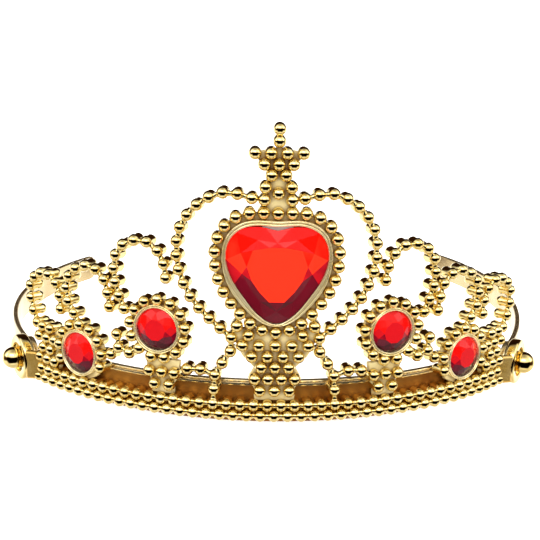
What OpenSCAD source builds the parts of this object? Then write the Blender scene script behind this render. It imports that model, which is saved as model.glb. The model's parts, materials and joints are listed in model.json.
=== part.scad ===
// Costume tiara: a pierced, beaded front on an upright arc, set with one heart stone and four round
// stones, and two smooth side arms that swing on studs snapped through eyelets at the ends.
// Millimetres, +Z up, the wearer looks along -Y. The origin is under the middle of the whole crown.

/* [Arc] */
// radius of the arc on which the front beads stand
arc_r = 91; // [86:0.5:100]
// distance of the arc's centre behind the origin
arc_y = 25.3; // [20:0.1:30]

/* [Beads] */
// diameter of a bead's front
bead_d = 3.5; // [3.2:0.05:3.6]
// diameter of a bead's back
bead_back_d = 3.3; // [3:0.05:3.4]
// distance from a bead's front centre to its back centre
bead_depth = 2.4; // [2.2:0.1:2.6]
// diameter of the neck between two beads
neck_d = 1.6; // [1.2:0.1:2]
// spacing of the beads in the base rows
bead_pitch = 3.7; // [3.6:0.05:3.9]
// height of the lower base row above the table
row_z = 3; // [2.6:0.1:3.4]
// height of the upper base row above the lower one
row_step = 3; // [2.9:0.05:3.3]
// number of beads in the lower base row
row_beads = 43; // [41:2:43]

/* [Rail] */
// height of the smooth rail behind the base rows
rail_h = 12; // [10:0.5:13]
// thickness of the rail
rail_t = 1.6; // [1.2:0.1:2]
// depth of the rail's face behind the bead fronts
rail_depth = 3.2; // [3:0.1:3.6]

/* [Plates] */
// thickness of the flat plate behind the stones and the stems
plate_t = 1.6; // [1.2:0.1:2]
// depth of the plate's face behind the bead fronts
plate_depth = 0.6; // [0.4:0.1:0.9]
// width of the raised rim around a stone
rim_w = 0.8; // [0.6:0.05:1]
// height of the raised rim in front of the bead centres
rim_h = 1; // [0.6:0.1:1.4]

/* [Stones] */
// height of the heart stone's middle above the lower base row
heart_z = 40; // [39.5:0.1:41]
// number of beads around the heart setting
heart_beads = 28; // [27:1:29]
// diameter of a round stone
stone_d = 11.6; // [11:0.1:12]
// radius of the ring of beads around a round stone
stone_ring_r = 8.2; // [8:0.05:8.6]
// number of beads around a whole round setting
stone_beads = 13; // [12:1:13]
// arc distance of the inner stones from the middle
inner_s = 32.4; // [31.5:0.1:33]
// height of the inner stones above the lower base row
inner_z = 22.6; // [22:0.1:23.5]
// arc distance of the outer stones from the middle
outer_s = 58.3; // [57.5:0.1:59]
// height of the outer stones above the lower base row
outer_z = 11.6; // [11.3:0.1:12.5]

/* [Hinges] */
// distance of a hinge centre from the middle plane
hinge_x = 74.6; // [73:0.1:78]
// distance of a hinge centre in front of the arc's centre
hinge_y = 54.2; // [52:0.1:56]
// height of a hinge centre above the table
hinge_z = 6.9; // [6.7:0.1:8]
// direction of the hinge pin, turned from straight ahead
hinge_turn = 60; // [56:1:64]
// outer diameter of an eyelet
eyelet_d = 13.6; // [12:0.1:13.8]
// thickness of an eyelet
eyelet_t = 3.2; // [2.8:0.1:3.6]
// diameter of the stud's neck in the eyelet
stud_d = 5.1; // [4:0.1:6]
// radial running clearance of the neck in the eyelet
stud_gap = 0.06; // [0.03:0.01:0.1]
// diameter of the domed knob outside the eyelet
knob_d = 6.6; // [6.2:0.1:7]

/* [Side arms] */
// radius of an arm's arc seen from above
arm_r = 86; // [82:0.5:90]
// angle covered by an arm
arm_sweep = 68; // [50:1:75]
// width of an arm's strip
arm_w = 9; // [7:0.1:9.4]
// thickness of an arm's strip
arm_t = 1.6; // [1.4:0.1:2]
// upward slope of the left arm
left_rise = 3; // [0:0.5:8]
// upward slope of the right arm
right_rise = 5; // [0:0.5:8]

/* [Hidden] */
$fn = 56;
bead_r = bead_d / 2;
neck_tuck = bead_r * 0.6;
rail_r = arc_r - rail_depth;
rail_end = (row_beads - 1) / 2 * bead_pitch + 2;
gold = [0.86, 0.66, 0.25];
red = [0.8, 0.03, 0.03];
seat_gap = 0.1;
air = 0.35;

// ---- placing things on the arc ------------------------------------------------------------

function deg(s) = s / arc_r * 180 / PI;

// point at arc distance s, height z above the lower row and depth d behind the bead centres
function spot(s, z, d = 0) =
  [(arc_r - d) * sin(deg(s)), arc_y - (arc_r - d) * cos(deg(s)), row_z + z];

// drawing plane that touches the arc at s: X runs along the arc, Y up, Z outwards
module face(s, z) {
  translate([0, arc_y, 0]) rotate([0, 0, deg(s)]) translate([0, -arc_r, row_z + z])
    rotate([90, 0, 0]) children();
}

module bead(s, z) {
  face(s, z) {
    sphere(d = bead_d);
    translate([0, 0, -bead_depth]) sphere(d = bead_back_d);
  }
}

// round bar between the beads at p and q, its ends hidden inside them
module neck(p, q) {
  v = q - p;
  translate(p + neck_tuck * v / norm(v)) rotate([0, acos(v[2] / norm(v)), atan2(v[1], v[0])])
    cylinder(h = norm(v) - 2 * neck_tuck, d = neck_d);
}

// beads at the listed [s, z] places, each joined to the next by a neck
module chain(places) {
  for (p = places) bead(p[0], p[1]);
  for (i = [0 : len(places) - 2])
    neck(spot(places[i][0], places[i][1]), spot(places[i + 1][0], places[i + 1][1]));
}

// ---- curves -------------------------------------------------------------------------------

function bend(a, b, c, d, t) = 0.5 * (2 * b + (c - a) * t + (2 * a - 5 * b + 4 * c - d) * t * t
  + (3 * b - a - 3 * c + d) * t * t * t);

// smooth line through the guide points
function curve(g, m = 12) = [for (i = [0 : len(g) - 2], k = [0 : m - 1])
  bend(g[max(i - 1, 0)], g[i], g[i + 1], g[min(i + 2, len(g) - 1)], k / m), g[len(g) - 1]];

function run(p) = [for (i = 0, l = 0; i < len(p);
  l = l + (i < len(p) - 1 ? norm(p[i + 1] - p[i]) : 0), i = i + 1) l];

// n places at equal distances along a line of points, both ends included
function spaced(p, n) = let (l = run(p), top = l[len(l) - 1],
    xs = [for (i = [0 : len(p) - 1]) [l[i], p[i][0]]],
    ys = [for (i = [0 : len(p) - 1]) [l[i], p[i][1]]])
  [for (k = [0 : n - 1]) [lookup(top * k / (n - 1), xs), lookup(top * k / (n - 1), ys)]];

function sided(side, g) = [for (p = g) [side * p[0], p[1]]];

// a staggered row: n places, pitch apart, centred on s
function row(s, z, n, pitch) = [for (k = [0 : n - 1]) [s + (k - (n - 1) / 2) * pitch, z]];

// ---- outlines -----------------------------------------------------------------------------

// distance of the heart stone's edge from its middle, a measured from straight up
function heart_edge(a) = 12.75 + 1.15 * cos(a) - 1.6 * cos(3 * a) - 0.3 * cos(4 * a)
  - 0.7 * cos(5 * a) + 0.6 * exp(-pow((180 - a) / 13, 2)) - 0.5 * exp(-pow(a / 12, 2));

// distance of the bead ring around the heart from the same middle
function border_edge(a) = 16.35 + 1.2 * cos(a) + 0.1 * cos(2 * a) - 1.25 * cos(3 * a)
  - 0.3 * cos(4 * a) - 0.3 * cos(5 * a);

function ring_of(edge, n) = [for (i = [0 : n - 1])
  let (a = 360 * i / n, r = edge(a > 180 ? 360 - a : a)) [r * sin(a), r * cos(a)]];

heart_outline = ring_of(function (a) heart_edge(a), 48);
rim_outline = ring_of(function (a) border_edge(a) - bead_r - 0.25, 60);
rim_inside = ring_of(function (a) border_edge(a) - bead_r - 0.25 - rim_w, 60);
border_outline = ring_of(function (a) border_edge(a), 60);
round_outline = ring_of(function (a) stone_d / 2, 20);

// ---- stones and settings ------------------------------------------------------------------

// cut stone: rings of the outline at rising heights, closed by the back and the table
module stone(outline, levels) {
  n = len(outline);
  m = len(levels);
  pts = [for (l = levels, p = outline) [p[0] * l[1], p[1] * l[1], l[0]]];
  sides = [for (j = [0 : m - 2], i = [0 : n - 1], h = [0, 1])
    let (k = (i + 1) % n, a = j * n + i, b = j * n + k, c = a + n, d = b + n)
    h == 0 ? [a, b, d] : [a, d, c]];
  polyhedron(points = [for (p = pts) [-p[0], p[1], p[2]]],
    faces = concat([for (f = sides) f], [[for (i = [n - 1 : -1 : 0]) i]],
      [[for (i = [0 : n - 1]) (m - 1) * n + i]]));
}

module plate(points) {
  translate([0, 0, -plate_depth - plate_t]) linear_extrude(plate_t) polygon(points);
}

module heart_setting() color(gold) {
  face(0, heart_z) {
    plate(border_outline);
    translate([0, 0, -plate_depth - plate_t / 2]) linear_extrude(plate_depth + plate_t / 2 + rim_h)
      difference() {
        polygon(rim_outline);
        polygon(rim_inside);
      }
    for (p = spaced(concat(border_outline, [border_outline[0]]), heart_beads + 1))
      if (norm(p - border_outline[0]) > 0.01 || p[0] == border_outline[0][0])
        translate([p[0], p[1], 0]) {
          sphere(d = bead_d);
          translate([0, 0, -bead_depth]) sphere(d = bead_back_d);
        }
  }
}

module heart_gem() color(red) face(0, heart_z)
  stone(heart_outline, [[-plate_depth, 1], [0.5, 1], [1.7, 0.8], [2.4, 0.52]]);

module round_gem(s, z) color(red) face(s, z)
  stone(round_outline, [[-plate_depth, 1], [0.3, 1], [1.3, 0.78], [1.9, 0.5]]);

// round setting; beads lower than the keep height are left to the base rows
module round_setting(s, z, turn, keep) color(gold) face(s, z) {
  translate([0, 0, -plate_depth - plate_t]) cylinder(h = plate_t, r = stone_ring_r);
  difference() {
    translate([0, 0, -plate_depth - plate_t / 2])
      cylinder(h = plate_depth + plate_t / 2 + rim_h, d = stone_d + 2 * (seat_gap + rim_w));
    translate([0, 0, -plate_depth]) cylinder(h = plate_depth + rim_h + 1, d = stone_d + 2 * seat_gap);
  }
  for (i = [0 : stone_beads - 1]) {
    a = turn + 360 * i / stone_beads;
    if (z + stone_ring_r * cos(a) > keep)
      translate([stone_ring_r * sin(a), stone_ring_r * cos(a), 0]) {
        sphere(d = bead_d);
        translate([0, 0, -bead_depth]) sphere(d = bead_back_d);
      }
  }
}

// ---- beaded panels ------------------------------------------------------------------------

// staggered rows [height, count, pitch] of beads on a flat plate, centred on s
module panel(s, rows, outline) {
  face(s, 0) {
    plate(outline);
    for (r = rows, k = [0 : r[1] - 1])
      translate([(k - (r[1] - 1) / 2) * r[2], r[0], 0]) {
        sphere(d = bead_d);
        translate([0, 0, -bead_depth]) sphere(d = bead_back_d);
      }
  }
}

function both(half) = concat(half, [for (i = [len(half) - 1 : -1 : 0]) [-half[i][0], half[i][1]]]);

module heart_stem() color(gold) difference() {
  panel(0, [[7.2, 3, 4], [10.5, 4, 3.6], [13.8, 3, 3.7], [16.8, 4, 4.2], [19.9, 5, 4.4],
      [22.8, 2, 14.4], [25.3, 2, 20.7]],
    both([[5.4, 4.2], [5.6, 8], [7.2, 10.5], [5.6, 13.6], [8.6, 16.6], [10.4, 19.8], [11.6, 25.2],
      [9.4, 28]]));
  face(0, heart_z) translate([0, 0, -6]) linear_extrude(12) polygon(border_outline);
}

module cross_finial() color(gold) difference() {
  panel(0, [[59.3, 2, 7.2], [61.0, 1, 0], [62.6, 2, 6.8], [65.7, 2, 3.7], [68.5, 3, 3.8],
      [71.4, 4, 4.15], [74.5, 1, 0], [77.6, 1, 0]],
    both([[4.6, 55.2], [4.6, 59], [4.1, 62.6], [2.2, 65.4], [4.2, 68.2], [6.8, 71.2], [4.2, 72],
      [0.9, 72.6], [0.7, 77.6]]));
  face(0, heart_z) translate([0, 0, -6]) linear_extrude(12) polygon(border_outline);
}

module inner_stem(side) color(gold) difference() {
  panel(side * 31.2, [[7, 2, 4.3], [10.5, 3, 3.7]],
    both([[3.2, 4.2], [3.2, 7], [4.6, 10.4], [5.2, 14.5]]));
  face(side * inner_s, inner_z) translate([0, 0, -6]) cylinder(h = 12, r = stone_ring_r);
}

module end_panel(side) color(gold)
  panel(side * 72.8, [[6.4, 3, 3.7], [9.6, 2, 3.7], [12.8, 3, 3.7], [16, 2, 3.7]],
    both([[4.4, 1.6], [4.6, 6.4], [3.4, 9.6], [4.6, 12.8], [2.4, 16.2]]));

// ---- chains -------------------------------------------------------------------------------

module base_beads(z, n) color(gold) chain(row(0, z, n, bead_pitch));

module heart_arch(side) color(gold) chain(spaced(curve(sided(side,
  [[6.9, 59.7], [14.2, 60.9], [21.4, 57.3], [26.2, 50.4], [26.6, 41.2], [23, 32.6], [17.8, 26.9],
   [11.8, 21.9]])), 16));

module arch_foot(side) color(gold) {
  chain(sided(side, [[12, 18], [14.2, 14.6], [16.1, 11.1], [16.4, 7.1]]));
  chain(sided(side, [[20.1, 12.4], [23.8, 12.2]]));
  neck(spot(side * 16.1, 11.1), spot(side * 20.1, 12.4));
  neck(spot(side * 11.8, 21.9), spot(side * 12, 18));
  neck(spot(side * 16.4, 7.1), spot(side * 16.6, row_step));
}

module inner_scroll(side) color(gold) chain(spaced(curve(sided(side,
  [[29.9, 37], [31.2, 42.8], [35.6, 46.4], [41.6, 45.6], [45.4, 41], [45.3, 34], [42.5, 27]])), 11));

module outer_scroll(side) color(gold) {
  chain(spaced(curve(sided(side, [[47.3, 26.8], [48.9, 34], [53.2, 37.2], [58.6, 36.4],
    [62.9, 32], [62.9, 26.6], [60.4, 22.8]])), 10));
  neck(spot(side * 48.3, 30.9), spot(side * 44.8, 31.2));
  neck(spot(side * 60.4, 22.8), spot(side * outer_s, outer_z + stone_ring_r));
}

module end_scroll(side) color(gold) {
  chain(spaced(curve(sided(side, [[65.9, 22.9], [66.8, 28.6], [70.8, 31.9], [76, 31.5],
    [80.6, 27.6], [80.6, 22], [77.6, 16.4]])), 10));
  neck(spot(side * 66, 26.6), spot(side * 62.9, 26.8));
}

module side_cluster(side) color(gold) {
  chain(sided(side, [[41, 14.6], [44.4, 15.7], [47, 13.3]]));
  bead(side * 45, 19.4);
  neck(spot(side * 44.4, 15.7), spot(side * 45, 19.4));
  neck(spot(side * 41, 14.6), spot(side * 37.8, 16.5));
}

// ---- rail, eyelets and arms ---------------------------------------------------------------

module base_rail() color(gold) translate([0, arc_y, 0]) rotate([0, 0, -90 - deg(rail_end)])
  rotate_extrude(angle = 2 * deg(rail_end), $fn = 180)
    translate([rail_r - rail_t, 0]) square([rail_t, rail_h]);

// hinge frame: Z runs outwards along the pin
module at_hinge(side) {
  translate([side * hinge_x, arc_y - hinge_y, hinge_z]) rotate([90, 0, side * hinge_turn])
    children();
}

// eyelet disc with a tab that runs forward and in to the end panel, clear of the arm's pad
module hinge_eyelet(side) color(gold) difference() {
  union() {
    at_hinge(side) translate([0, 0, -eyelet_t / 2]) rotate_extrude()
      polygon([[0, 0], [eyelet_d / 2 - 0.8, 0], [eyelet_d / 2, 0.8],
        [eyelet_d / 2, eyelet_t - 0.8], [eyelet_d / 2 - 0.8, eyelet_t], [0, eyelet_t]]);
    at_hinge(side) translate([0, 6 - hinge_z, 0]) rotate([90, 0, 0])
      translate([0, 0, -5]) linear_extrude(10)
        polygon([for (p = [[4.6, -eyelet_t / 2], [6.3, -eyelet_t / 2], [9.2, -4.6], [10.6, -3.4],
          [6.6, eyelet_t / 2 - 0.5], [4.6, eyelet_t / 2 - 0.5]]) [-side * p[0], p[1]]]);
  }
  at_hinge(side) translate([0, 0, -5]) cylinder(h = 10, d = stud_d + 2 * stud_gap);
  at_hinge(side) translate([0, 0, eyelet_t / 2 - 1.2]) cylinder(h = 5, d = knob_d + 2.2);
}

module hinge_stud(side, rise) color(gold) at_hinge(side) rotate([0, 0, side * rise]) {
  translate([0, 0, -eyelet_t / 2 - air - arm_t])
    cylinder(h = eyelet_t + air + arm_t, d = stud_d);
  translate([0, 0, eyelet_t / 2 - 1.2 + air]) cylinder(h = 1.8, d = knob_d - 0.8);
  translate([0, 0, eyelet_t / 2 + 1.2]) difference() {
    sphere(d = knob_d);
    translate([-5, -5, -5 - knob_d / 4]) cube([10, 10, 5]);
  }
}

module side_arm(side, rise) color(gold) at_hinge(side) rotate([0, 0, side * rise])
  translate([0, 0, -eyelet_t / 2 - air - arm_t]) difference() {
    union() {
      cylinder(h = arm_t, d = 11.4);
      rotate([-90, 0, 0]) translate([0, arm_r - arm_t, 0]) rotate([0, 0, side > 0 ? -90 : -90 - arm_sweep])
        rotate_extrude(angle = arm_sweep, $fn = 180) translate([arm_r - arm_t, -arm_w / 2])
          square([arm_t, arm_w]);
    }
    translate([0, 0, -1]) cylinder(h = 5, d = stud_d);
  }

base_rail();
base_beads(0, row_beads);  // base_beads_lower
base_beads(row_step, row_beads - 1);  // base_beads_upper
heart_setting();
heart_gem();
heart_stem();
cross_finial();
heart_arch(-1);  // left_heart_arch
arch_foot(-1);  // left_arch_foot
round_setting(-inner_s, inner_z, 0, -9);  // left_inner_setting
round_gem(-inner_s, inner_z);  // left_inner_gem
inner_stem(-1);  // left_inner_stem
inner_scroll(-1);  // left_inner_scroll
side_cluster(-1);  // left_side_cluster
round_setting(-outer_s, outer_z, 0, 6);  // left_outer_setting
round_gem(-outer_s, outer_z);  // left_outer_gem
outer_scroll(-1);  // left_outer_scroll
end_scroll(-1);  // left_end_scroll
end_panel(-1);  // left_end_panel
hinge_eyelet(-1);  // left_hinge_eyelet
side_arm(-1, left_rise);  // left_side_arm
hinge_stud(-1, left_rise);  // left_hinge_stud
heart_arch(1);  // right_heart_arch
arch_foot(1);  // right_arch_foot
round_setting(inner_s, inner_z, 0, -9);  // right_inner_setting
round_gem(inner_s, inner_z);  // right_inner_gem
inner_stem(1);  // right_inner_stem
inner_scroll(1);  // right_inner_scroll
side_cluster(1);  // right_side_cluster
round_setting(outer_s, outer_z, 0, 6);  // right_outer_setting
round_gem(outer_s, outer_z);  // right_outer_gem
outer_scroll(1);  // right_outer_scroll
end_scroll(1);  // right_end_scroll
end_panel(1);  // right_end_panel
hinge_eyelet(1);  // right_hinge_eyelet
side_arm(1, right_rise);  // right_side_arm
hinge_stud(1, right_rise);  // right_hinge_stud
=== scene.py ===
# Costume tiara: vacuum-metallised gold beads on an arc, foil-backed red stones, two hinged arms.
import json
import math
import bpy
import numpy as np
from mathutils import Matrix, Vector


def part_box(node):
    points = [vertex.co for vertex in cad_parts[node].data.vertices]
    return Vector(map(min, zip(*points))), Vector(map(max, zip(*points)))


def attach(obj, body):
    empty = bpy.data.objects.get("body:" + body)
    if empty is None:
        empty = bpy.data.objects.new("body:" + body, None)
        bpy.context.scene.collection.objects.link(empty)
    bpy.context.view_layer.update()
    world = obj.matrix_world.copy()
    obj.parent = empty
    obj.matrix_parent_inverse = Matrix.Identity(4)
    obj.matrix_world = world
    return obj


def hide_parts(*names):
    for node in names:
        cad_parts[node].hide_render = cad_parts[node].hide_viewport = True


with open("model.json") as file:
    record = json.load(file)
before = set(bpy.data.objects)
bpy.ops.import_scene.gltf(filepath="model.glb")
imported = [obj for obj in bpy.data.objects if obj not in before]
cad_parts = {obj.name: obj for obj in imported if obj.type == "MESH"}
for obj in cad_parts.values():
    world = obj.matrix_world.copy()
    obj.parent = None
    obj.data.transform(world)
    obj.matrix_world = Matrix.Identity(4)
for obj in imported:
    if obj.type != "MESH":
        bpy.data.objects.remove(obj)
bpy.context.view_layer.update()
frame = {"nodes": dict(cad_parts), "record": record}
print("frame loaded:", len(frame["nodes"]), "nodes")

mm = 0.001

# the arc on which everything in front stands, in mm
crown = {
    "arcRadius": 91.0,
    "rowBeads": 43,
    "beadPitch": 3.7,
    "rowStep": 3.0,
}
# one bead: a round front, a waist and a round back, in mm
beadShape = {
    "frontRadius": 1.75,
    "waistRadius": 1.38,
    "backRadius": 1.65,
    "depth": 2.4,
    "around": 14,
    "neckRadius": 0.8,
}

rowLow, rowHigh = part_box("base_beads_lower")
rowZ = rowLow.z / mm + beadShape["frontRadius"]
arcY = rowLow.y / mm + beadShape["frontRadius"] + crown["arcRadius"]


# shapes: each is (points, faces) in mm

# Several shapes as one: points are stacked and each face list is moved up by what came before.
def together(*shapes):
    points, faces, start = [], [], 0
    for p, f in shapes:
        points.append(p)
        faces += [[i + start for i in face] for face in f]
        start += len(p)
    return np.concatenate(points), faces


# Faces of a grid of rows by columns, each square joined to its right and lower neighbour.
def gridFaces(rows, columns, closedRows=False, closedColumns=True):
    r = np.arange(rows if closedRows else rows - 1)[:, None]
    c = np.arange(columns if closedColumns else columns - 1)[None, :]
    r2, c2 = (r + 1) % rows, (c + 1) % columns
    quads = np.stack([r * columns + c, r * columns + c2, r2 * columns + c2, r2 * columns + c], -1)
    return quads.reshape(-1, 4).tolist()


# A closed shape with its faces outwards: the sum of a . (b x c) over its fan triangles is six
# times its volume, so the faces are turned round where the sum is negative.
def outwards(points, faces):
    fans = np.array([(f[0], f[i], f[i + 1]) for f in faces for i in range(1, len(f) - 1)])
    a, b, c = points[fans[:, 0]], points[fans[:, 1]], points[fans[:, 2]]
    flip = np.sum(a * np.cross(b, c)) < 0
    return points, [f[::-1] for f in faces] if flip else faces


# A profile of (radius, height) turned about Z: x = radius cos a, y = radius sin a, z = height.
# A radius of zero at either end becomes one pole point.
def turned(profile, around):
    profile = np.asarray(profile, float)
    a = np.arange(around) * 2 * np.pi / around
    top, bottom = profile[0, 0] == 0, profile[-1, 0] == 0
    body = profile[int(top):len(profile) - int(bottom)]
    grid = np.stack([body[:, :1] * np.cos(a), body[:, :1] * np.sin(a),
                     np.repeat(body[:, 1:], around, 1)], -1).reshape(-1, 3)
    faces = [f[::-1] for f in gridFaces(len(body), around)]
    last = (len(body) - 1) * around
    if top:
        faces += [[len(grid), i, (i + 1) % around] for i in range(around)]
        grid = np.vstack([grid, [0, 0, profile[0, 1]]])
    if bottom:
        faces += [[len(grid), last + (i + 1) % around, last + i] for i in range(around)]
        grid = np.vstack([grid, [0, 0, profile[-1, 1]]])
    return grid, faces


# A closed outline lifted through levels of (inset, height): each ring is the outline moved
# inwards along its own normal by the inset, and the two end rings are filled.
def lifted(outline, levels):
    outline = np.asarray(outline, float)
    along = np.roll(outline, -1, 0) - np.roll(outline, 1, 0)
    along /= np.linalg.norm(along, axis=1, keepdims=True)
    inward = np.stack([-along[:, 1], along[:, 0]], 1)
    rings = [np.column_stack([outline + inward * inset, np.full(len(outline), height)])
             for inset, height in levels]
    n = len(outline)
    faces = gridFaces(len(levels), n)
    faces.append(list(range(n))[::-1])
    faces.append([(len(levels) - 1) * n + i for i in range(n)])
    return outwards(np.concatenate(rings), faces)


# A section carried along a path of points with given sideways and upward directions:
# point = path + section x * side + section y * up; both ends are filled.
def carried(path, side, up, section):
    section = np.asarray(section, float)
    grid = (path[:, None, :] + section[None, :, :1] * side[:, None, :]
            + section[None, :, 1:] * up[:, None, :])
    n = len(section)
    faces = gridFaces(len(path), n)
    faces.append(list(range(n))[::-1])
    faces.append([(len(path) - 1) * n + i for i in range(n)])
    return outwards(grid.reshape(-1, 3), faces)


# Round corners of a box section: corner circles of the given radius, steps points each.
def roundedBox(width, height, radius, steps=4):
    a = np.linspace(0, np.pi / 2, steps)
    quarter = np.stack([np.cos(a), np.sin(a)], 1) * radius
    turns = [(1, 1, 1), (-1, 1, -1), (-1, -1, 1), (1, -1, -1)]
    corners = []
    for sx, sy, order in turns:
        q = quarter * [sx, sy]
        corners.append((q if order > 0 else q[::-1])
                       + [sx * (width / 2 - radius), sy * (height / 2 - radius)])
    return np.concatenate(corners)


# places: origins and axes (right, up, outwards)

# Places on the arc: the angle is s over the radius, right = (cos, sin, 0), out = (sin, -cos, 0),
# origin = centre + out * (radius - depth), height z above the lower row.
def onArc(s, z, depth=0.0):
    s, z = np.atleast_1d(np.asarray(s, float)), np.atleast_1d(np.asarray(z, float))
    a = s / crown["arcRadius"]
    zero, one = np.zeros_like(a), np.ones_like(a)
    right = np.stack([np.cos(a), np.sin(a), zero], 1)
    up = np.stack([zero, zero, one], 1)
    out = np.stack([np.sin(a), -np.cos(a), zero], 1)
    origin = out * (crown["arcRadius"] - depth)
    origin = origin + np.stack([zero, zero + arcY, rowZ + z], 1)
    return origin, np.stack([right, up, out], 1)


# A flat shape set on the plane that touches the arc at s: origin + x right + y up + z out.
def onFace(shape, s, z):
    origin, axes = onArc(s, z)
    return shape[0] @ axes[0] + origin[0], shape[1]


# Copies of one shape at many places, as one shape: every point = origin + point through axes.
def copied(shape, places):
    origin, axes = places
    points = np.einsum("mk,nkj->nmj", shape[0], axes) + origin[:, None, :]
    m = len(shape[0])
    faces = [[i + k * m for i in face] for k in range(len(origin)) for face in shape[1]]
    return points.reshape(-1, 3), faces


# Places on the flat plane at s for a list of (x, y) points.
def onFlat(s, z, xy):
    origin, axes = onArc(s, z)
    xy = np.asarray(xy, float).reshape(-1, 2)
    return origin + xy[:, :1] * axes[0, 0] + xy[:, 1:] * axes[0, 1], np.repeat(axes, len(xy), 0)


# Smooth line through guide points (Catmull-Rom), then n points at equal distances along it.
def alongCurve(guides, n, steps=24):
    g = np.asarray(guides, float)
    p = np.vstack([g[:1], g, g[-1:]])
    t = (np.arange(steps) / steps)[:, None, None]
    a, b, c, d = p[:-3], p[1:-2], p[2:-1], p[3:]
    line = 0.5 * (2 * b + (c - a) * t + (2 * a - 5 * b + 4 * c - d) * t**2
                  + (3 * b - a - 3 * c + d) * t**3)
    line = np.vstack([line.transpose(1, 0, 2).reshape(-1, g.shape[1]), g[-1:]])
    return evenly(line, n)


# n points at equal distances along a line of points, both ends included.
def evenly(line, n):
    run = np.concatenate([[0], np.cumsum(np.linalg.norm(np.diff(line, axis=0), axis=1))])
    at = np.linspace(0, run[-1], n)
    return np.stack([np.interp(at, run, line[:, k]) for k in range(line.shape[1])], 1)


# beads and necks

# Bead profile: a sphere cap from the front pole past its widest ring, a waist, then a second
# sphere cap down to the back pole.
def beadProfile():
    b = beadShape
    front = np.radians([0, 28, 56, 90])
    back = np.radians([90, 130, 180])
    rows = [(b["frontRadius"] * math.sin(a), b["frontRadius"] * math.cos(a)) for a in front]
    rows.append((b["waistRadius"], -0.5 * b["depth"]))
    rows += [(b["backRadius"] * math.sin(a), b["backRadius"] * math.cos(a) - b["depth"])
             for a in back]
    rows[0], rows[-1] = (0, rows[0][1]), (0, rows[-1][1])
    return rows


oneBead = turned(beadProfile(), beadShape["around"])


# Bars from every point p to its q: rings of 8 at five stations, the radius growing with the
# square of the distance from the bar's middle so that it flows into the beads.
def necks(p, q):
    p, q = np.atleast_2d(p), np.atleast_2d(q)
    v = q - p
    length = np.linalg.norm(v, axis=1, keepdims=True)
    v = v / length
    side = np.cross(v, [0.3, 0.2, 0.93])
    side /= np.linalg.norm(side, axis=1, keepdims=True)
    other = np.cross(v, side)
    a = np.arange(8) * np.pi / 4
    t = np.array([0.28, 0.4, 0.5, 0.6, 0.72])
    radius = beadShape["neckRadius"] * (0.9 + 9 * (t - 0.5) ** 2)
    ring = (np.cos(a)[None, None, :, None] * side[:, None, None, :]
            + np.sin(a)[None, None, :, None] * other[:, None, None, :])
    centre = p[:, None, :] + v[:, None, :] * length[:, None, :] * t[None, :, None]
    grid = centre[:, :, None, :] + ring * radius[None, :, None, None]
    each = gridFaces(5, 8) + [list(range(8))[::-1], [32 + i for i in range(8)]]
    faces = [[i + k * 40 for i in f] for k in range(len(p)) for f in each]
    return grid.reshape(-1, 3), faces


# A chain on the arc: a bead at each (s, z) place and a neck between neighbours.
def chain(places):
    places = np.asarray(places, float)
    spots = onArc(places[:, 0], places[:, 1])
    return together(copied(oneBead, spots), necks(spots[0][:-1], spots[0][1:]))


# A neck alone between two (s, z) places on the arc.
def link(a, b):
    return necks(onArc(a[0], a[1])[0], onArc(b[0], b[1])[0])


# materials

# sRGB hex to linear: divide by 12.92 near black, else ((c + 0.055) / 1.055) to the power 2.4.
def colour(hexCode):
    c = np.array([int(hexCode[i:i + 2], 16) / 255 for i in (1, 3, 5)])
    lin = np.where(c <= 0.04045, c / 12.92, ((c + 0.055) / 1.055) ** 2.4)
    return (*lin, 1.0)


# Adds one node: its settings are attributes, its inputs are values or other nodes' sockets.
def addNode(tree, kind, settings=None, **inputs):
    made = tree.nodes.new(kind)
    for key, value in (settings or {}).items():
        setattr(made, key, value)
    for key, value in inputs.items():
        socket = made.inputs[int(key[1:])] if key[0] == "i" and key[1:].isdigit() \
            else made.inputs[key.replace("_", " ")]
        if isinstance(value, bpy.types.NodeSocket):
            tree.links.new(value, socket)
        else:
            socket.default_value = value
    return made


# Stops of a colour ramp from (place, hex) pairs, each place between -1 and 1.
def fillRamp(ramp, steps):
    stops = ramp.color_ramp.elements
    stops.remove(stops[1])
    for k, (place, shade) in enumerate(steps):
        stop = stops[0] if k == 0 else stops.new((place + 1) / 2)
        stop.position, stop.color = (place + 1) / 2, colour(shade)
    return ramp.outputs["Color"]


# An empty material and its node tree.
def newMaterial(name):
    material = bpy.data.materials.new(name)
    material.use_nodes = True
    material.node_tree.nodes.clear()
    return material, material.node_tree


# Noise between two colours: the noise's middle third, 0.35 to 0.65, runs from low to high, and
# grain is the pattern's size in mm.
def mottled(tree, where, grain, low, high):
    noise = addNode(tree, "ShaderNodeTexNoise", Vector=where, Scale=1 / (grain * mm),
                    Detail=3.0, Roughness=0.5)
    ramp = addNode(tree, "ShaderNodeValToRGB", Fac=noise.outputs["Fac"])
    start, end = ramp.color_ramp.elements
    start.position, start.color = 0.35, low
    end.position, end.color = 0.65, high
    return ramp.outputs["Color"]


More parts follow.
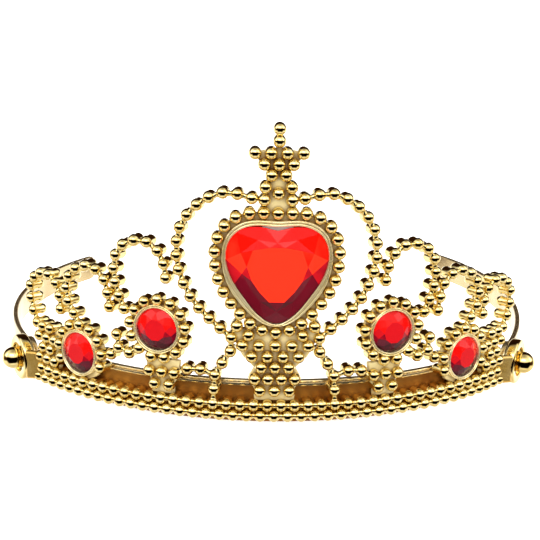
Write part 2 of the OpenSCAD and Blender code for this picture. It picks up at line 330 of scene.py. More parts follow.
# Taken to be polystyrene, injection-moulded, then vacuum-metallised and lacquered amber: a
# mirror-bright gold with a faint orange peel and slightly uneven lacquer. Lacquer and haze are
# noise with patches of the given size in mm. The share of metal is set for each surface: below 1
# it mixes plain pale gold into the mirror. Where a look gives a reach for painted shade, a
# painted shade is mixed in by how closed in a point is within that reach in mm, so that the
# surface darkens in the corners round the beads.
def metallisedGold(name, look):
    material, tree = newMaterial(name)
    where = addNode(tree, "ShaderNodeTexCoord").outputs["Object"]
    tint = mottled(tree, where, look["lacquerPatch"], colour(look["deep"]), colour(look["pale"]))
    # painted shade: a brown mixed in where the beads close the surface in
    if "paintedShadeReach" in look:
        nook = addNode(tree, "ShaderNodeAmbientOcclusion", {"samples": 8},
                       Distance=look["paintedShadeReach"] * mm)
        bare = addNode(tree, "ShaderNodeMapRange", Value=nook.outputs["AO"], From_Min=0.25,
                       From_Max=0.85)
        tint = addNode(tree, "ShaderNodeMix", {"data_type": "RGBA"}, i0=bare.outputs["Result"],
                       i6=colour(look["paintedShadeColour"]), i7=tint).outputs[2]
    haze = addNode(tree, "ShaderNodeTexNoise", Vector=where, Scale=1 / (look["hazePatch"] * mm),
                   Detail=2.0)
    rough = addNode(tree, "ShaderNodeMapRange", Value=haze.outputs["Fac"], From_Min=0.3,
                    From_Max=0.7, To_Min=look["roughness"][0], To_Max=look["roughness"][1])
    peel = addNode(tree, "ShaderNodeTexNoise", Vector=where, Scale=1 / (look["peel"] * mm),
                   Detail=2.0)
    bump = addNode(tree, "ShaderNodeBump", Strength=look["peelStrength"],
                   Distance=look["peelHeight"] * mm, Height=peel.outputs["Fac"])
    shader = addNode(tree, "ShaderNodeBsdfPrincipled", Base_Color=tint, Metallic=look["metal"],
                     Roughness=rough.outputs["Result"], Normal=bump.outputs["Normal"])
    addNode(tree, "ShaderNodeOutputMaterial", Surface=shader.outputs["BSDF"])
    return material


# Taken to be acrylic, moulded red and backed with mirror foil. The light inside the stone isn't
# traced: the shade is painted by how far a facet tilts up or down, from wine below through
# orange red on the table to pure red above, under a clear polished skin.
def foiledAcrylic(name, look):
    material, tree = newMaterial(name)
    place = addNode(tree, "ShaderNodeTexCoord")
    tilt = addNode(tree, "ShaderNodeSeparateXYZ", Vector=place.outputs["Normal"])
    stir = addNode(tree, "ShaderNodeTexNoise", Vector=place.outputs["Object"],
                   Scale=1 / (look["patch"] * mm), Detail=2.0)
    lift = addNode(tree, "ShaderNodeMapRange", Value=stir.outputs["Fac"], From_Min=0.3,
                   From_Max=0.7, To_Min=0.5 - look["stir"], To_Max=0.5 + look["stir"])
    where = addNode(tree, "ShaderNodeMath", {"operation": "MULTIPLY_ADD"}, i0=tilt.outputs["Z"],
                    i1=0.5, i2=lift.outputs["Result"])
    ramp = addNode(tree, "ShaderNodeValToRGB", Fac=where.outputs["Value"])
    shader = addNode(tree, "ShaderNodeBsdfPrincipled", Base_Color=fillRamp(ramp, look["shades"]),
                     Roughness=look["roughness"], Specular_IOR_Level=look["gloss"], IOR=1.49)
    addNode(tree, "ShaderNodeOutputMaterial", Surface=shader.outputs["BSDF"])
    return material


# Aluminised foil, pressed behind the stones: a grey mirror with fine creases.
def mirrorFoil(name, look):
    material, tree = newMaterial(name)
    where = addNode(tree, "ShaderNodeTexCoord").outputs["Object"]
    crease = addNode(tree, "ShaderNodeTexNoise", Vector=where, Scale=1 / (look["crease"] * mm),
                     Detail=3.0)
    bump = addNode(tree, "ShaderNodeBump", Strength=0.4, Distance=look["height"] * mm,
                   Height=crease.outputs["Fac"])
    shader = addNode(tree, "ShaderNodeBsdfPrincipled", Base_Color=colour(look["tint"]),
                     Metallic=0.5, Roughness=look["roughness"], Normal=bump.outputs["Normal"])
    addNode(tree, "ShaderNodeOutputMaterial", Surface=shader.outputs["BSDF"])
    return material


# beads, eyelet rings and studs: all metal and hardly rough, clear mirrors
goldBead = metallisedGold("metallisedGoldBeads", {
    "metal": 1.0,
    "deep": "#F4D98E", "pale": "#FAE6A6", "lacquerPatch": 6.0, "roughness": (0.05, 0.10),
    "hazePatch": 4.0, "peel": 0.7, "peelStrength": 0.12, "peelHeight": 0.05})
# plates between the beads: less metal and more roughness, a soft pale gold with a painted shade
# that darkens it brown close to the beads, so that these stand out from it
goldPlate = metallisedGold("metallisedGoldPlates", {
    # painted shade round the beads: its reach in mm and its brown
    "paintedShadeReach": 1.3, "paintedShadeColour": "#74460E",
    "metal": 0.45,
    "deep": "#EFD896", "pale": "#F6E3A8", "lacquerPatch": 7.0, "roughness": (0.5, 0.6),
    "hazePatch": 3.0, "peel": 0.8, "peelStrength": 0.25, "peelHeight": 0.06})
# tabs at the eyelets: a deeper gold and slightly hazy, so that the plain block stays quiet
goldTab = metallisedGold("metallisedGoldTabs", {
    "metal": 0.75,
    "deep": "#DDB35C", "pale": "#ECC87C", "lacquerPatch": 6.0, "roughness": (0.12, 0.2),
    "hazePatch": 3.0, "peel": 0.8, "peelStrength": 0.25, "peelHeight": 0.06})
# arms and the rail's lip: large smooth faces, a satin champagne tone
goldArm = metallisedGold("metallisedGoldArms", {
    "metal": 0.9,
    "deep": "#D2B684", "pale": "#E2CC9C", "lacquerPatch": 12.0, "roughness": (0.14, 0.22),
    "hazePatch": 9.0, "peel": 1.5, "peelStrength": 0.2, "peelHeight": 0.05})
# rims round the stones: the palest gold, as a painted highlight between stone and beads
goldRimPaintedHighlight = metallisedGold("metallisedGoldRimsPaintedHighlight", {
    "metal": 0.8,
    "deep": "#F8E4A8", "pale": "#FFF0C0", "lacquerPatch": 6.0, "roughness": (0.1, 0.16),
    "hazePatch": 4.0, "peel": 0.8, "peelStrength": 0.12, "peelHeight": 0.05})
# rail behind the beads: gold darkened to a dull brown as painted shade, darker than the rest
goldRailPaintedShade = metallisedGold("metallisedGoldRailPaintedShade", {
    "metal": 0.75,
    "deep": "#925A1E", "pale": "#AC7630", "lacquerPatch": 9.0, "roughness": (0.42, 0.55),
    "hazePatch": 5.0, "peel": 1.2, "peelStrength": 0.25, "peelHeight": 0.06})
# shades run by tilt from -1 to 1 as painted light and shade; the heart is painted brighter
redStone = foiledAcrylic("foiledRedAcrylic", {
    "shades": [(-0.5, "#33030C"), (-0.17, "#5A0A18"), (-0.1, "#A8121A"), (-0.05, "#E62C18"),
               (0.04, "#E62C18"), (0.1, "#EE1006"), (0.3, "#EE0803"), (0.6, "#D00603")],
    "patch": 5.0, "stir": 0.012, "roughness": 0.05, "gloss": 0.22})
# round stones: the same red with a deeper painted shade
roundRed = foiledAcrylic("foiledRedAcrylicRound", {
    "shades": [(-0.5, "#2E020A"), (-0.2, "#52081A"), (-0.1, "#860C18"), (-0.05, "#AE1218"),
               (0.04, "#AE1218"), (0.1, "#C8100E"), (0.3, "#D60C08"), (0.6, "#AC0604")],
    "patch": 1.8, "stir": 0.025, "roughness": 0.05, "gloss": 0.22})
silverFoil = mirrorFoil("aluminisedFoil", {
    "tint": "#D8D5CC", "crease": 1.2, "height": 0.05, "roughness": 0.4})
print("materials ready")


# making an object of shapes

# parts is a list of (shape, material, angle): edges sharper than the angle, in degrees, stay
# crisp, and faces turn smoothly into each other below it.
def piece(name, parts, nodes, body="front"):
    points, faces, owner, start, kinds = [], [], [], 0, []
    for shape, material, angle in parts:
        if material not in kinds:
            kinds.append(material)
        points.append(shape[0])
        faces += [[i + start for i in f] for f in shape[1]]
        owner += [kinds.index(material)] * len(shape[1])
        start += len(shape[0])
    mesh = bpy.data.meshes.new(name)
    mesh.from_pydata(np.concatenate(points) * mm, [], faces)
    mesh.polygons.foreach_set("material_index", owner)
    for material in kinds:
        mesh.materials.append(material)
    mesh.update()
    mesh.polygons.foreach_set("use_smooth", [True] * len(faces))
    mesh.set_sharp_from_angle(angle=math.radians(max(part[2] for part in parts)))
    made = bpy.data.objects.new(name, mesh)
    bpy.context.scene.collection.objects.link(made)
    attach(made, body)
    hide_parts(*nodes)


# outlines of the heart: distances from its middle in mm, by the angle a from straight up

# Stone: a mean radius plus cosines of a, 3a, 4a and 5a, with a narrow bump out at the tip and
# a narrow dent at the notch, both bell curves. The CAD node has 0.7 where this has 0.25, so the
# two outlines differ by up to 0.45 mm: here the lower sides are fuller and the tip is shorter.
def heartEdge(a):
    c, r = np.cos, np.radians(a)
    tip, notch = np.exp(-((180 - a) / 13) ** 2), np.exp(-(a / 12) ** 2)
    return 12.75 + 1.15 * c(r) - 1.6 * c(3 * r) - 0.3 * c(4 * r) - 0.25 * c(5 * r) \
        + 0.6 * tip - 0.5 * notch


# Line of the border beads: a mean radius plus cosines of a to 5a.
def borderEdge(a):
    c, r = np.cos, np.radians(a)
    return 16.35 + 1.2 * c(r) + 0.1 * c(2 * r) - 1.25 * c(3 * r) - 0.3 * c(4 * r) - 0.3 * c(5 * r)


# Points of an edge rule round the full turn, anticlockwise from straight up.
def outlineOf(edge, n, shift=0.0):
    a = (np.arange(n) + shift) * 360 / n
    r = edge(np.where(a > 180, 360 - a, a))
    return np.stack([-r * np.sin(np.radians(a)), r * np.cos(np.radians(a))], 1)


# A circle of n points: the same radius at every angle.
def circleLine(radius, n):
    return outlineOf(lambda a: 0 * a + radius, n)


# base rows and rail

rail = {"height": 12.0, "thickness": 1.6, "depth": 3.2, "stations": 120, "lip": 1.5, "past": 2}


# Places of n beads in a row, centred: s = (k - (n - 1) / 2) * pitch at one height z.
def rowPlaces(z, n):
    return np.stack([(np.arange(n) - (n - 1) / 2) * crown["beadPitch"], np.full(n, z)], 1)


piece("lower_row_beads", [(chain(rowPlaces(0, crown["rowBeads"])), goldBead, 60)],
      ["base_beads_lower"])
piece("upper_row_beads",
      [(chain(rowPlaces(crown["rowStep"], crown["rowBeads"] - 1)), goldBead, 60)],
      ["base_beads_upper"])

# rail section: a thin strip with a lip of two round ridges and a groove along its top
t, h, g = rail["thickness"] / 2, rail["height"], rail["lip"]
railSection = [(-t + 0.15, h - g), (-t, h - g - 0.1), (-t, 0.3), (-t + 0.3, 0), (t - 0.3, 0),
               (t - 0.1, 0.3), (t - 0.1, h - g - 0.1), (t - 0.2, h - g)]
lipSection = [(-t + 0.1, h - g - 0.1), (t - 0.05, h - g - 0.1), (t, h - g + 0.1),
              (t, h - g / 2 - 0.15), (t - 0.08, h - g / 2 - 0.05), (t - 0.22, h - g / 2),
              (t - 0.22, h - g / 2 + 0.12),
              (t - 0.08, h - g / 2 + 0.18), (t, h - 0.3), (t - 0.1, h - 0.08), (t - 0.35, h),
              (-t + 0.3, h), (-t + 0.08, h - 0.08), (-t, h - 0.3)]
railEnd = (crown["rowBeads"] - 1) / 2 * crown["beadPitch"] + rail["past"]
s = np.linspace(-railEnd, railEnd, rail["stations"])
path, axes = onArc(s, 0 * s - rowZ, rail["depth"] + t)
# the strip below the lip carries the rail's painted shade, the lip a paler gold
piece("rail_strip", [(carried(path, axes[:, 2], axes[:, 1], railSection), goldRailPaintedShade, 40),
                     (carried(path, axes[:, 2], axes[:, 1], lipSection), goldArm, 40)],
      ["base_rail"])
print("base rows and rail built")

# heart

heart = {"z": 40.0, "beads": 28, "points": 96, "beadsToRim": 1.95, "rimGap": 0.12,
         "rimWidth": 1.5, "rimHeight": 1.0, "facets": 12, "foilSize": (4.6, 1.7), "foilUp": 11.4}
plateLevels = [(0.5, -2.2), (0.15, -2.15), (0.0, -1.9), (0.0, -0.9), (0.12, -0.66), (0.4, -0.6),
               (0.6, -0.6)]


# A plate 1.6 mm thick behind the beads: the outline with its front and back edges rounded.
def plate(outline):
    return lifted(outline, plateLevels)


# A rim between two closed outlines: each point of the section lies at its share of the way from
# the inner outline to the outer one, at its own height.
def rimBetween(inner, outer, section):
    section = np.asarray(section, float)
    flat = inner[:, None, :] + (outer - inner)[:, None, :] * section[None, :, :1]
    high = np.broadcast_to(section[None, :, 1:], flat.shape[:2] + (1,))
    grid = np.concatenate([flat, high], -1).reshape(-1, 3)
    return outwards(grid, gridFaces(len(inner), len(section), closedRows=True))


# Two round ridges with a groove between them, standing on the plate.
def ridges(high):
    return [(0, -0.9), (1, -0.9), (1, high - 0.3), (0.93, high - 0.08), (0.8, high),
            (0.66, high - 0.08), (0.6, high - 0.4), (0.46, high - 0.4), (0.4, high - 0.1),
            (0.27, high), (0.1, high - 0.06), (0, high - 0.3)]


# A cut stone from the back up: a smooth girdle of four points a facet, then a band of broad
# facets rising to n points, a band of triangles to n points half a step on, and a flat table.
# levels is (scale, height) of the back, the girdle, the first ring and the table.
def cutStone(edge, n, levels):
    (_, low), (_, girdle), (firstScale, first), (tableScale, top) = levels
    rim = outlineOf(edge, 4 * n)
    rings = [np.column_stack([line, np.full(len(line), height)]) for line, height in (
        (rim, low), (rim, girdle), (outlineOf(edge, n) * firstScale, first),
        (outlineOf(edge, n, 0.5) * tableScale, top))]
    m = 4 * n
    faces = gridFaces(2, m) + [list(range(m))[::-1], [2 * m + n + i for i in range(n)]]
    for i in range(n):
        j, p, q = (i + 1) % n, 2 * m, 2 * m + n
        faces.append([m + (4 * i + k) % m for k in range(-2, 3)] + [p + i])
        faces.append([m + 4 * i + 2, p + j, p + i])
        faces.append([p + i, p + j, q + i])
        faces.append([p + j, q + j, q + i])
    return np.concatenate(rings), faces


# The rim's outer edge: the border line moved in to just inside its beads.
def rimBorder(a):
    return borderEdge(a) - heart["beadsToRim"]


# The rim's inner edge hugs the stone, and stands off it only over the notch: the stone's edge
# plus the gap, plus what is missing to the straight rim, weighted from 0 to 1 as the cosine of
# the angle from straight up goes from 0.7 to 0.9.
def rimEdge(a):
    hug = heartEdge(a) + heart["rimGap"]
    over = np.clip((np.cos(np.radians(a)) - 0.7) / 0.2, 0, 1)
    return hug + over * np.maximum(0, rimBorder(a) - heart["rimWidth"] - hug)


rimOuter = outlineOf(rimBorder, heart["points"])
rimInner = outlineOf(rimEdge, heart["points"])
borderLine = outlineOf(borderEdge, heart["points"])
borderSpots = evenly(np.vstack([borderLine, borderLine[:1]]), heart["beads"] + 1)[:-1]
heartRim = rimBetween(rimInner, rimOuter, ridges(heart["rimHeight"]))
piece("heart_frame", [
    (onFace(plate(borderLine), 0, heart["z"]), goldPlate, 40),
    (onFace(heartRim, 0, heart["z"]), goldRimPaintedHighlight, 40),
    (copied(oneBead, onFlat(0, heart["z"], borderSpots)), goldBead, 60)],
    ["heart_setting"])

# the foil shows only in the notch, where the rim stands off the stone
foilLine = circleLine(1.0, 40) * heart["foilSize"] + [0, heart["foilUp"]]
foilLevels = [(0.1, -0.62), (0.0, -0.58), (0.05, -0.5), (0.2, -0.48)]
heartLevels = [(1.0, -0.45), (1.0, 0.45), (0.74, 1.6), (0.6, 2.35)]
piece("heart_stone", [
    (onFace(cutStone(heartEdge, heart["facets"], heartLevels), 0, heart["z"]), redStone, 3),
    (onFace(lifted(foilLine, foilLevels), 0, heart["z"]), silverFoil, 3)],
    ["heart_gem"])
print("heart built")


# beaded panels

# A closed outline from its right half, given upwards: the half, then its mirror image downwards.
def bothSides(half):
    half = np.asarray(half, float)
    return np.vstack([half, half[::-1] * [-1, 1]])


# A flat plate at s with rows of (height, count, pitch): bead k of a row of n is at
# x = (k - (n - 1) / 2) * pitch.
def panel(s, rows, outline):
    spots = [((k - (n - 1) / 2) * pitch, z) for z, n, pitch in rows for k in range(n)]
    return [(onFace(plate(outline), s, 0), goldPlate, 40),
            (copied(oneBead, onFlat(s, 0, spots)), goldBead, 60)]


piece("stem_column", panel(0, [(7.2, 3, 4.0), (10.5, 4, 3.6), (13.8, 3, 3.7), (16.8, 4, 4.2),
                               (19.9, 5, 4.4), (22.8, 2, 14.4), (25.3, 2, 20.7)],
      bothSides([(5.4, 4.2), (5.6, 8), (7.2, 10.5), (5.6, 13.6), (8.6, 16.6), (10.4, 19.8),
                 (11.4, 23.6), (8.6, 24.6)])), ["heart_stem"])
piece("cross_top", panel(0, [(59.3, 2, 7.2), (61.0, 1, 0), (62.6, 2, 6.8), (65.7, 2, 3.7),
                             (68.5, 3, 3.8), (71.4, 4, 4.15), (74.5, 1, 0), (77.6, 1, 0)],
      bothSides([(4.6, 55.6), (4.6, 59), (4.1, 62.6), (2.2, 65.4), (4.2, 68.2), (6.8, 71.2),
                 (4.2, 72), (0.9, 72.6), (0.7, 77.6)])), ["cross_finial"])

# round stones

roundStone = {"diameter": 11.6, "ring": 8.2, "beads": 13, "facets": 10, "rim": 0.95,
              "rimHeight": 1.0, "rimGap": 0.1, "inner": (32.4, 22.6), "outer": (58.3, 11.6)}
roundLevels = [(1.0, -0.45), (1.0, 0.3), (0.8, 1.05), (0.52, 1.85)]


# A setting: a round plate, a rim just outside the stone, and beads at equal angles on a ring,
# of which only those higher than keep stay.
def roundSetting(s, z, keep):
    a = np.arange(roundStone["beads"]) * 2 * np.pi / roundStone["beads"]
    spots = roundStone["ring"] * np.stack([np.sin(a), np.cos(a)], 1)
    spots = spots[z + spots[:, 1] > keep]
    inner = roundStone["diameter"] / 2 + roundStone["rimGap"]
    rim = rimBetween(circleLine(inner, 64), circleLine(inner + roundStone["rim"], 64),
                     ridges(roundStone["rimHeight"]))
    return [(onFace(plate(circleLine(roundStone["ring"], 64)), s, z), goldPlate, 40),
            (onFace(rim, s, z), goldRimPaintedHighlight, 40),
            (copied(oneBead, onFlat(s, z, spots)), goldBead, 60)]


# A round cut stone with a disc of foil behind it, as wide as the rim's inside.
def roundGem(s, z):
    radius = roundStone["diameter"] / 2
    stone = cutStone(lambda a: 0 * a + radius, roundStone["facets"], roundLevels)
    foil = lifted(circleLine(radius + roundStone["rimGap"], 48),
                  [(0.1, -0.58), (0, -0.55), (0.3, -0.46)])
    return [(onFace(stone, s, z), roundRed, 3), (onFace(foil, s, z), silverFoil, 3)]


# both sides: guide points of the curved chains on the right side, as (s, z)
curves = {
    "archBeads": [(6.9, 59.7), (14.2, 60.9), (21.4, 57.3), (26.2, 50.4), (26.6, 41.2), (23, 32.6),
                  (17.8, 26.9), (11.8, 21.9)],
    "innerScroll": [(29.9, 37), (31.2, 42.8), (35.6, 46.4), (41.6, 45.6), (45.4, 41), (45.3, 34),
                    (42.5, 27)],
    "outerScroll": [(47.3, 26.8), (48.9, 34), (53.2, 37.2), (58.6, 36.4), (62.9, 32),
                    (62.9, 26.6), (60.4, 22.8)],
    "endScroll": [(65.9, 22.9), (66.8, 28.6), (70.8, 31.9), (76, 31.5), (80.6, 27.6), (80.6, 22),
                  (77.6, 16.4)],
}

for side, word in ((-1, "left"), (1, "right")):
    mirrored = np.array([side, 1.0])

    # n beads at equal distances along a named curve
    def run(name, n):
        return chain(alongCurve(np.array(curves[name]) * mirrored, n))

    # a bead at each given place
    def few(*places):
        return chain(np.array(places) * mirrored)

    # a neck alone from a to b
    def tie(a, b):
        return link(np.array(a) * mirrored, np.array(b) * mirrored)

    piece(f"{word}_arch_beads", [(run("archBeads", 16), goldBead, 60)], [f"{word}_heart_arch"])
    piece(f"{word}_foot_beads", [(together(
        few((12, 18), (14.2, 14.6), (16.1, 11.1), (16.4, 7.1)), few((20.1, 12.4), (23.8, 12.2)),
        tie((16.1, 11.1), (20.1, 12.4)), tie((11.8, 21.9), (12, 18)), tie((16.4, 7.1), (16.6, 3))),
        goldBead, 60)], [f"{word}_arch_foot"])
    piece(f"{word}_inner_frame", roundSetting(side * roundStone["inner"][0],
          roundStone["inner"][1], -9), [f"{word}_inner_setting"])
    piece(f"{word}_inner_stone", roundGem(side * roundStone["inner"][0], roundStone["inner"][1]),
          [f"{word}_inner_gem"])
    piece(f"{word}_outer_frame", roundSetting(side * roundStone["outer"][0],
          roundStone["outer"][1], 6), [f"{word}_outer_setting"])
    piece(f"{word}_outer_stone", roundGem(side * roundStone["outer"][0], roundStone["outer"][1]),
          [f"{word}_outer_gem"])
    piece(f"{word}_stem_beads", panel(side * 31.2, [(7, 2, 4.3), (10.5, 3, 3.7)],
          bothSides([(3.2, 4.2), (3.2, 7), (4.6, 10.4), (5.0, 14.0)])),
          [f"{word}_inner_stem"])
    piece(f"{word}_inner_scroll_beads", [(run("innerScroll", 11), goldBead, 60)],
          [f"{word}_inner_scroll"])
    piece(f"{word}_outer_scroll_beads", [(together(run("outerScroll", 10),
          tie((48.3, 30.9), (44.8, 31.2)), tie((60.4, 22.8), (58.3, 19.8))), goldBead, 60)],
          [f"{word}_outer_scroll"])
    piece(f"{word}_end_scroll_beads", [(together(run("endScroll", 10),
          tie((66, 26.6), (62.9, 26.8))), goldBead, 60)], [f"{word}_end_scroll"])
    piece(f"{word}_cluster_beads", [(together(few((41, 14.6), (44.4, 15.7), (47, 13.3)),
          copied(oneBead, onArc(side * 45, 19.4)), tie((44.4, 15.7), (45, 19.4)),
          tie((41, 14.6), (37.8, 16.5))), goldBead, 60)], [f"{word}_side_cluster"])
    piece(f"{word}_end_beads", panel(side * 72.8, [(6.4, 3, 3.7), (9.6, 2, 3.7), (12.8, 3, 3.7),
          (16, 2, 3.7)], bothSides([(4.4, 1.6), (4.6, 6.4), (3.4, 9.6), (4.6, 12.8), (2.4, 16.2)])),
          [f"{word}_end_panel"])
print("front built")

# hinges and side arms

eyelet = {"radius": 6.8, "thickness": 3.2, "bore": 2.61, "recess": 4.4, "recessDepth": 1.2,
          "edge": 0.8, "tabHeight": (-5.0, 3.6)}
stud = {"neck": 2.55, "collar": 2.9, "knob": 3.3}
arm = {"radius": 86.0, "sweep": 68.0, "width": 9.0, "thickness": 1.6, "air": 0.35, "pad": 5.7,
       "corner": 3.0, "left": 3.0, "right": 5.0}


# Hinge place from the record: out runs along the pin away from the head, right = up x out.
# A rise turns right and up about out by that many degrees.
def hingePlace(side, word, rise=0.0):
    joint = next(j for j in frame["record"]["behaviour"]["joints"] if j["name"].startswith(word))
    out, up = np.array(joint["axis"]) * side, np.array([0, 0, 1.0])
    right = np.cross(up, out)
    c, s = math.cos(math.radians(rise * side)), math.sin(math.radians(rise * side))
    return np.array(joint["pos_m"]) / mm, np.array([right * c + up * s, up * c - right * s, out])


# A shape set at a place: point = origin + x right + y up + z out.
def setAt(shape, place):
    return shape[0] @ place[1] + place[0], shape[1]


# A closed section of (radius, height) points turned about Z into a ring.
def ringTurned(section, around):
    section = np.asarray(section, float)
    a = (np.arange(around) * 2 * np.pi / around)[:, None]
    grid = np.stack([section[:, 0] * np.cos(a), section[:, 0] * np.sin(a),
                     section[:, 1] + 0 * a], -1)
    return outwards(grid.reshape(-1, 3), gridFaces(around, len(section), closedRows=True))


# Eyelet: a ring with quarter-round outer edges and a stepped recess round its bore.
def eyeletRing():
    e, t, soft = eyelet, eyelet["thickness"] / 2, eyelet["edge"]
    a = np.radians([0, 22, 45, 68, 90])
    edge = np.stack([e["radius"] - soft + soft * np.sin(a),
                     t - soft + soft * np.cos(a)], 1)
    floor = t - e["recessDepth"]
    return ringTurned([(e["bore"], floor - 0.1), (e["bore"], -t), *(edge * [1, -1]),
                       *edge[::-1], (e["recess"] + 0.25, t), (e["recess"] + 0.06, t - 0.08),
                       (e["recess"], t - 0.3), (e["recess"], floor + 0.15),
                       (e["recess"] - 0.15, floor), (e["bore"] + 0.1, floor)], 56)


# Tab outline seen from above, x along the arc and y outwards, lifted over the tab's height with
# quarter-round upper and lower edges.
def eyeletTab(side):
    t, soft = eyelet["thickness"] / 2, eyelet["edge"]
    line = np.array([(4.6, -t), (6.3, -t), (9.2, -4.6), (10.6, -3.4), (6.6, t - 0.5),
                     (4.6, t - 0.5)]) * [-side, 1]
    line = evenly(np.vstack([line, line[:1]]), 61)[:-1]
    line = line if side < 0 else line[::-1]
    low, high = eyelet["tabHeight"]
    edge = [(soft - soft * math.sin(v), soft - soft * math.cos(v))
            for v in np.radians([0, 30, 60, 90])]
    points, faces = lifted(line, [(inset, h - high) for inset, h in edge]
                           + [(inset, -low - h) for inset, h in edge[::-1]])
    return points[:, [0, 2, 1]] * [1, -1, 1], faces


# Snap stud: a ball knob, a collar in the recess and a neck through the bore, turned about Z.
def studTurned():
    base, k = -eyelet["thickness"] / 2 - arm["air"] - arm["thickness"], stud["knob"]
    seat = eyelet["thickness"] / 2 - eyelet["recessDepth"] + arm["air"]
    a = np.radians(np.linspace(0, 118, 15))
    middle = eyelet["thickness"] / 2 + 1.2
    dome = [(k * math.sin(v), middle + k * math.cos(v)) for v in a]
    dome[0] = (0, dome[0][1])
    return turned(dome + [(stud["collar"], dome[-1][1] - 0.05), (stud["collar"], seat),
                          (stud["neck"], seat), (stud["neck"], base + 0.25),
                          (stud["neck"] - 0.25, base), (0, base)], 48)


# Arm strip: an arc of the given sweep. Over the corner length before its end, the section's
# width narrows as a quarter circle, so that the corners of the end are round.
def armStrip(side):
    r, t, w = arm["radius"], arm["thickness"], arm["width"]
    u = np.radians(np.concatenate([np.linspace(2.2, arm["sweep"] - 2.2, 60),
                                   arm["sweep"] - 2.1 * np.cos(np.radians(np.arange(10, 91, 10)))]))
    base = -eyelet["thickness"] / 2 - arm["air"] - t
    middle = r - t / 2
    spine = np.stack([side * middle * np.sin(u), 0 * u, base - (r - t) + middle * np.cos(u)], 1)
    outward = np.stack([side * np.sin(u), 0 * u, np.cos(u)], 1)
    left = np.clip((math.radians(arm["sweep"]) - u) * r / arm["corner"], 0, 1)
    half = w / 2 - arm["corner"] * (1 - np.sqrt(1 - (1 - left) ** 2))
    section = roundedBox(t, w, 0.5)
    grid = (spine[:, None, :] + section[None, :, :1] * outward[:, None, :]
            + (section[:, 1] / (w / 2))[None, :, None] * half[:, None, None] * [0, 1.0, 0])
    n = len(section)
    faces = gridFaces(len(u), n)
    faces += [list(range(n))[::-1], [(len(u) - 1) * n + i for i in range(n)]]
    return outwards(grid.reshape(-1, 3), faces)


# Round pad that closes the arm's end at the hinge: a disc with softened edges.
def armPad():
    t, r = arm["thickness"], arm["pad"]
    top = -eyelet["thickness"] / 2 - arm["air"]
    return turned([(0, top), (r - 0.4, top), (r - 0.1, top - 0.1), (r, top - 0.4),
                   (r, top - t + 0.4), (r - 0.1, top - t + 0.1), (r - 0.4, top - t),
                   (0, top - t)], 56)


for side, word in ((-1, "left"), (1, "right")):
    level, raised = hingePlace(side, word), hingePlace(side, word, arm[word])
    piece(f"{word}_eyelet_ring", [(setAt(eyeletRing(), level), goldBead, 40),
          (setAt(eyeletTab(side), level), goldTab, 40)], [f"{word}_hinge_eyelet"])
    piece(f"{word}_arm_strip", [(setAt(together(armStrip(side), armPad()), raised), goldArm, 40)],
          [f"{word}_side_arm"], f"{word}_arm")
    piece(f"{word}_snap_stud", [(setAt(studTurned(), raised), goldBead, 40)],
          [f"{word}_hinge_stud"], f"{word}_arm")
print("hinges and arms built")

# floor, light and camera

studio = {"paper": "#FFFFFF", "paperGlow": 0.8, "coveRadius": 2.4, "coveBend": 0.4,
          "coveTop": 1.3, "strength": 1.6,
          # shade of the room by the height looked at, from straight down (-1) to up (1)
          "front": [(-1, "#C8C4BC"), (-0.8, "#F4F2EE"), (-0.68, "#2A1204"), (-0.6, "#020100"),
                    (0.2, "#020100"), (0.25, "#4A2A0C"), (0.32, "#E4E2DC"), (0.6, "#FFFFFF"),
                    (0.85, "#E8E8E8"), (1, "#8C8880")],
          "sides": [(-1, "#B8B0A4"), (-0.45, "#E4E0D8"), (-0.25, "#3A2410"), (0.1, "#3A2410"),
                    (0.3, "#F4F4F4"), (0.8, "#E0E0E0"), (1, "#8C8880")],
          "rear": [(-1, "#B8B0A4"), (-0.3, "#FFFFFF"), (0.05, "#F0F0F0"), (0.2, "#2A1606"),
                   (0.9, "#140802"), (1, "#5A4428")]}

# a cove of white paper: a level floor that bends up into a round wall; it lights the crown
# softly, while the crown's gloss shows the room behind it instead
bend = np.radians([18, 36, 54, 72, 90])
wall, curl = studio["coveRadius"], studio["coveBend"]
profile = [(0, 0), (0.4, 0), (wall - curl, 0),
           *zip(wall - curl + curl * np.sin(bend), curl - curl * np.cos(bend)),
           (wall, studio["coveTop"])]
covePoints, coveFaces = turned(profile, 72)
coveMesh = bpy.data.meshes.new("paperCove")
coveMesh.from_pydata(covePoints, [], coveFaces)
coveMesh.polygons.foreach_set("use_smooth", [True] * len(coveFaces))
# matte white backdrop paper: even and without gloss, with a faint glow that keeps it white
paperWhite, tree = newMaterial("mattePaper")
sheet = addNode(tree, "ShaderNodeBsdfPrincipled", Base_Color=colour(studio["paper"]), Roughness=0.9,
                Specular_IOR_Level=0.1, Emission_Color=colour(studio["paper"]),
                Emission_Strength=studio["paperGlow"])
addNode(tree, "ShaderNodeOutputMaterial", Surface=sheet.outputs["BSDF"])
coveMesh.materials.append(paperWhite)
cove = bpy.data.objects.new("paperCove", coveMesh)
cove.visible_glossy = False
bpy.context.scene.collection.objects.link(cove)


# A soft box: an area light of width by height at a place, aimed at a point.
def softBox(name, place, aim, size, power):
    light = bpy.data.lights.new(name, "AREA")
    light.shape, light.size, light.size_y, light.energy = "RECTANGLE", size[0], size[1], power
    lamp = bpy.data.objects.new(name, light)
    lamp.location = place
    lamp.rotation_euler = (Vector(aim) - Vector(place)).to_track_quat("-Z", "Y").to_euler()
    bpy.context.scene.collection.objects.link(lamp)


softBox("frontBox", (-0.2, -0.9, 0.8), (0, 0, 0.04), (0.9, 0.4), 2.8)
softBox("leftBox", (-1.1, -0.3, 0.6), (0, 0, 0.04), (0.4, 0.6), 1.3)
softBox("rightBox", (1.1, -0.3, 0.6), (0, 0, 0.04), (0.4, 0.6), 1.3)

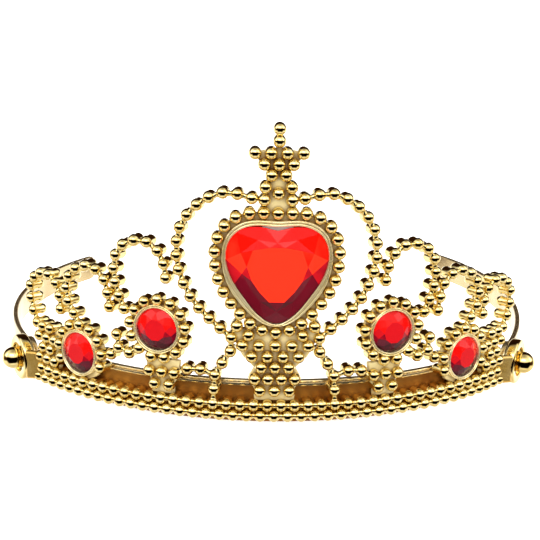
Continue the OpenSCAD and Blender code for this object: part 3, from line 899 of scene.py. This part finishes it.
# room around the table: ramps of shade by height in front, to the sides and behind, mixed by how
# far the view looks to the back
world = bpy.data.worlds.new("studioRoom")
world.use_nodes = True
tree = world.node_tree
tree.nodes.clear()
view = addNode(tree, "ShaderNodeTexCoord").outputs["Generated"]
split = addNode(tree, "ShaderNodeSeparateXYZ", Vector=view)
level = addNode(tree, "ShaderNodeMapRange", Value=split.outputs["Z"], From_Min=-1.0, From_Max=1.0)


# From the first colour to the second, smoothly, as the view's Y goes from low to high.
def roomBlend(low, high, first, second):
    mix = addNode(tree, "ShaderNodeMapRange", {"interpolation_type": "SMOOTHSTEP"},
                  Value=split.outputs["Y"], From_Min=low, From_Max=high)
    return addNode(tree, "ShaderNodeMix", {"data_type": "RGBA"}, i0=mix.outputs["Result"],
                   i6=first, i7=second).outputs[2]


front, sides, rear = [fillRamp(addNode(tree, "ShaderNodeValToRGB", Fac=level.outputs["Result"]),
                               studio[part]) for part in ("front", "sides", "rear")]
room = roomBlend(0.1, 0.4, roomBlend(-0.62, -0.35, front, sides), rear)
back = addNode(tree, "ShaderNodeBackground", Color=room, Strength=studio["strength"])
addNode(tree, "ShaderNodeOutputWorld", Surface=back.outputs["Background"])
bpy.context.scene.world = world

# camera: distance, height and turn of a close product shot
shot = {"distance": 364.0, "height": 109.1, "sideways": 1.17, "pitch": 14.06, "turn": 1.89,
        "roll": 1.17, "lens": 71.71}
lens = bpy.data.cameras.new("productLens")
lens.lens, lens.sensor_width = shot["lens"], 36.0
camera = bpy.data.objects.new("productCamera", lens)
turn = Matrix.Rotation(math.radians(-shot["turn"]), 4, "Z")
seat = turn @ Vector((shot["sideways"], -shot["distance"], shot["height"]))
camera.matrix_world = (Matrix.Translation((seat + Vector((0, arcY, rowZ))) * mm) @ turn
                       @ Matrix.Rotation(math.radians(90 - shot["pitch"]), 4, "X")
                       @ Matrix.Rotation(math.radians(shot["roll"]), 4, "Z"))
bpy.context.scene.collection.objects.link(camera)
bpy.context.scene.camera = camera
bpy.context.scene.view_settings.view_transform = "Standard"
print("studio ready")
